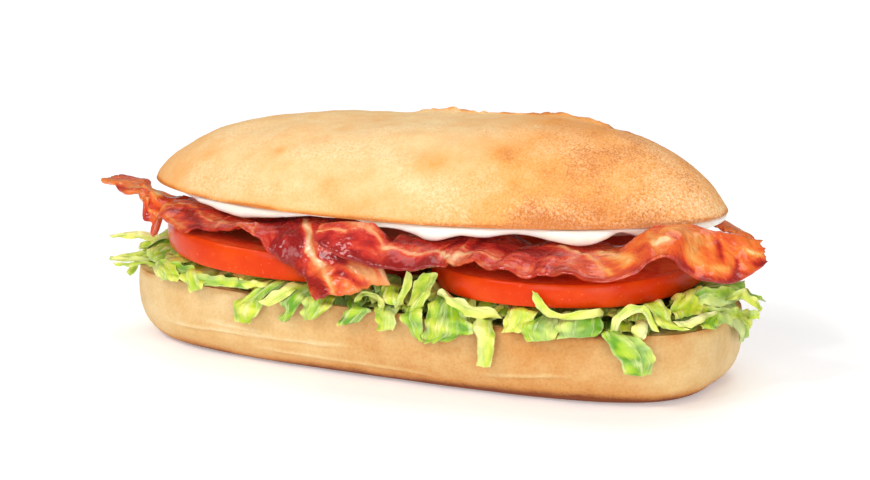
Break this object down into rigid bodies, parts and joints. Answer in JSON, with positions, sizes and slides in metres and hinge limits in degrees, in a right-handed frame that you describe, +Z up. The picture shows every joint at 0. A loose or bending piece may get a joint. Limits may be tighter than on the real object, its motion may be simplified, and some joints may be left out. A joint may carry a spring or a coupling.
{
  "type": "blt sandwich",
  "caption": "Long white roll cut through and filled with shredded lettuce, sliced tomato, crisp rippled bacon strips and mayonnaise, resting on its flat heel.",
  "frame": {"origin": "centre of the heel's flat underside, where the sandwich rests", "axes": "+X along the roll towards the end with the taller side of the crown, -Y towards the front with the draped bacon, +Z up"},
  "size_m": [0.2026, 0.0887, 0.0685],
  "materials": {
    "heel_crust": "pale baked crust, matt, browner along the foot and the cut edge",
    "crown_crust": "golden baked crust, matt, mottled brown towards one end",
    "mayonnaise": "smooth glossy cream white",
    "tomato": "wet glossy red skin and flesh",
    "bacon": "greasy dark red lean with orange and cream fat streaks",
    "lettuce": "crisp, slightly glossy, pale ribs and bright green edges"
  },
  "bodies": {
    "root": {"roll_heel": "heel_crust", "roll_crown": "crown_crust", "mayonnaise": "mayonnaise", "tomato_slice_left": "tomato", "tomato_slice_right": "tomato", "bacon_front_left": "bacon", "bacon_front_right": "bacon", "bacon_back_left": "bacon", "bacon_back_right": "bacon", "lettuce": "lettuce"}
  },
  "joints": []
}
